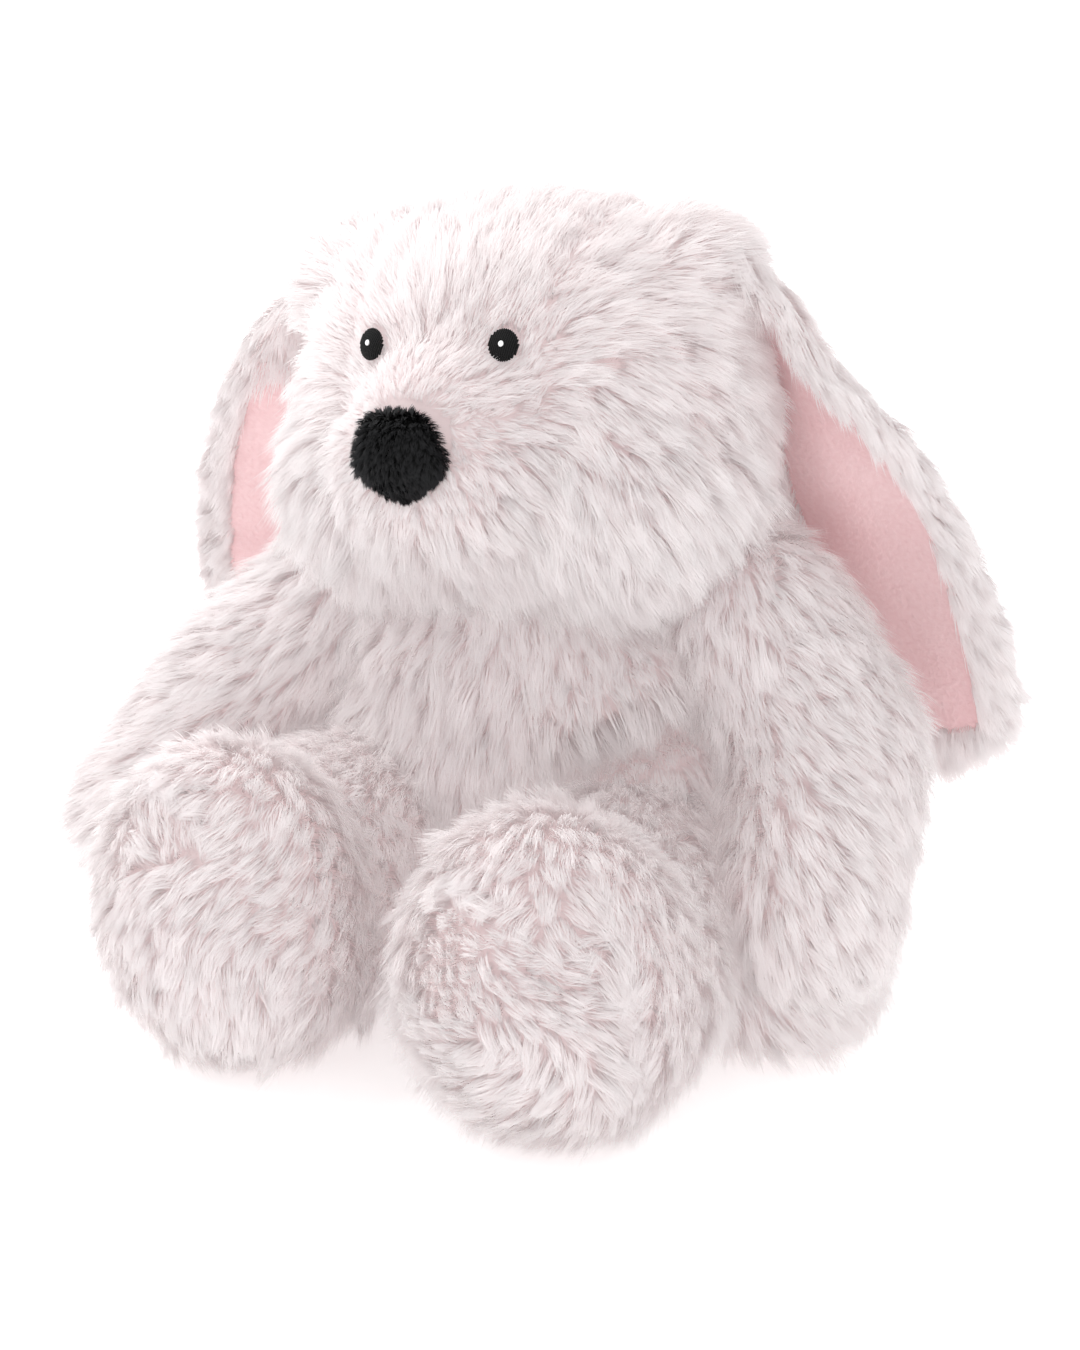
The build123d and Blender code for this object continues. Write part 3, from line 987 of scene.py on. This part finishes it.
def stitch(bm, centre, axes, place, radii, subdivisions):
    """One stitch: a small ball at a place beside the eye's centre, in millimetres along the eye's axes."""
    right, up, out = axes
    spot = centre + (right * place[0] + up * place[1] + out * place[2]) * MM
    turn = Matrix(axes).transposed().to_4x4()
    size = Matrix.Diagonal((radii[0] * MM, radii[1] * MM, radii[2] * MM, 1))
    bmesh.ops.create_icosphere(bm, subdivisions=subdivisions, radius=1,
                               matrix=Matrix.Translation(Vector(spot)) @ turn @ size)


def satin_round(bm, centre, axes):
    """Rows of thread laid side by side over a low dome."""
    pitch = 2 * EYE_RADIUS / SATIN_ROWS
    for row in range(SATIN_ROWS):
        x = -EYE_RADIUS + pitch * (row + 0.5)
        reach = math.sqrt(max(EYE_RADIUS ** 2 - x ** 2, 0.4))
        for part in range(-6, 7):
            z = reach * part / HALF_ROW
            dome = EYE_DOME * (1 - (x ** 2 + z ** 2) / EYE_RADIUS ** 2)
            stitch(bm, centre, axes, (x, z, dome), (pitch * 0.62, reach / HALF_ROW * 1.1, 0.5), 2)


def thread_piece(name, mesh_name, bm, material, node):
    """Turns finished stitches into a piece that rides the head."""
    mesh = bpy.data.meshes.new(mesh_name)
    bm.to_mesh(mesh)
    bm.free()
    smooth_faces(mesh)
    piece = put(name, mesh, material)
    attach(piece, "head")
    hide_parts(node)


def make_eye(side, sign):
    """A round of satin stitch with one white stitch on it."""
    spot, out = surface_at(head_mesh, sign * EYE_ACROSS, EYE_UP)
    out = unit(out + from_head(np.array((0, -0.5, 0.0))))
    up = unit(tangent(from_head(np.array((0.35, 0, 1.0))), out))
    axes = (np.cross(up, out), up, out)
    centre = spot + out * EYE_LIFT
    bm = bmesh.new()
    satin_round(bm, centre, axes)
    thread_piece(side + "_eye_satin", side + "_eye_stitches", bm, black_thread,
                 side + "_eye")
    bm = bmesh.new()
    stitch(bm, centre, axes, GLINT_PLACE, GLINT_RADII, 3)
    thread_piece(side + "_eye_glint", side + "_eye_glint_stitch", bm, white_thread,
                 side + "_eye_highlight")


make_eye("left", 1)
make_eye("right", -1)


# ---------------------------------------------------------------- neck

def neck_coat(roots, normals):
    nap = unit(tangent(np.array((0, 0, -1.0)) + 0 * roots, normals))
    hairs = len(roots)
    return {"nap": nap, "length": np.full(hairs, 9.0) * MM, "stand": np.full(hairs, 0.5),
            "pull": np.full(hairs, 0.5), "keep": np.abs(roots[:, 2] - 0.150) < 0.014}


neck_mesh = skin_mesh("neck_skin", [ball((0, 2, 150), (27, 27, 25))])
grow_body(neck_mesh, neck_coat, lambda p: np.zeros(len(p), int),
          [("neck_tube", ["neck_cover", "neck_stuffing"])], "neck", 60, 61)


# ---------------------------------------------------------------- studio

WORLD_STRENGTH = 1.02
FLOOR_HALF = 6
FLOOR_GLOW = 0.36
LAMP_SIDE = 1.2
LAMP_POWER = 14
LAMP_PLACE = (-0.75, 0.05, 1.25)
LAMP_TARGET = (0, 0, 0.15)
CAMERA_LENS = 74
CAMERA_AROUND = math.radians(27)
CAMERA_ABOVE = math.radians(22)
CAMERA_REACH = 1.0
CAMERA_TARGET = (0, 0, 0.107)


def make_world():
    scene = bpy.context.scene
    scene.view_settings.view_transform = "Standard"
    scene.cycles.diffuse_bounces = 8
    world = bpy.data.worlds.new("studio")
    world.use_nodes = True
    scene.world = world
    background = world.node_tree.nodes["Background"]
    background.inputs["Color"].default_value = (1.0, 1.0, 1.0, 1)
    background.inputs["Strength"].default_value = WORLD_STRENGTH


def make_floor():
    h = FLOOR_HALF
    floor_mesh = bpy.data.meshes.new("floor")
    floor_mesh.from_pydata([(-h, -h, 0), (h, -h, 0), (h, h, 0), (-h, h, 0)], [], [(0, 1, 2, 3)])
    floor_material, nodes, links, shader = new_material("floor_paper")
    grain = nodes.new("ShaderNodeTexNoise")
    grain.inputs["Scale"].default_value = 40
    level = nodes.new("ShaderNodeMapRange")
    level.inputs["To Min"].default_value = 0.92
    level.inputs["To Max"].default_value = 0.95
    links.new(grain.outputs[0], level.inputs["Value"])
    links.new(level.outputs[0], shader.inputs["Base Color"])
    shader.inputs["Roughness"].default_value = 0.9
    shader.inputs["Emission Color"].default_value = (1, 1, 1, 1)
    shader.inputs["Emission Strength"].default_value = FLOOR_GLOW
    floor = put("floor", floor_mesh, floor_material)


def make_lamp():
    soft = bpy.data.lights.new("overhead", "AREA")
    soft.shape = "RECTANGLE"
    soft.size = LAMP_SIDE
    soft.size_y = LAMP_SIDE
    soft.energy = LAMP_POWER
    lamp = bpy.data.objects.new("overhead", soft)
    bpy.context.collection.objects.link(lamp)
    lamp.location = LAMP_PLACE
    aim = Vector(LAMP_TARGET) - lamp.location
    lamp.rotation_euler = aim.to_track_quat("-Z", "Y").to_euler()


def make_camera():
    data = bpy.data.cameras.new("camera")
    data.lens = CAMERA_LENS
    camera = bpy.data.objects.new("camera", data)
    bpy.context.collection.objects.link(camera)
    level = math.cos(CAMERA_ABOVE)
    away = Vector((math.sin(CAMERA_AROUND) * level, -math.cos(CAMERA_AROUND) * level, math.sin(CAMERA_ABOVE)))
    camera.location = Vector(CAMERA_TARGET) + away * CAMERA_REACH
    camera.rotation_euler = (-away).to_track_quat("-Z", "Y").to_euler()
    bpy.context.scene.camera = camera


make_world()
make_floor()
make_lamp()
make_camera()
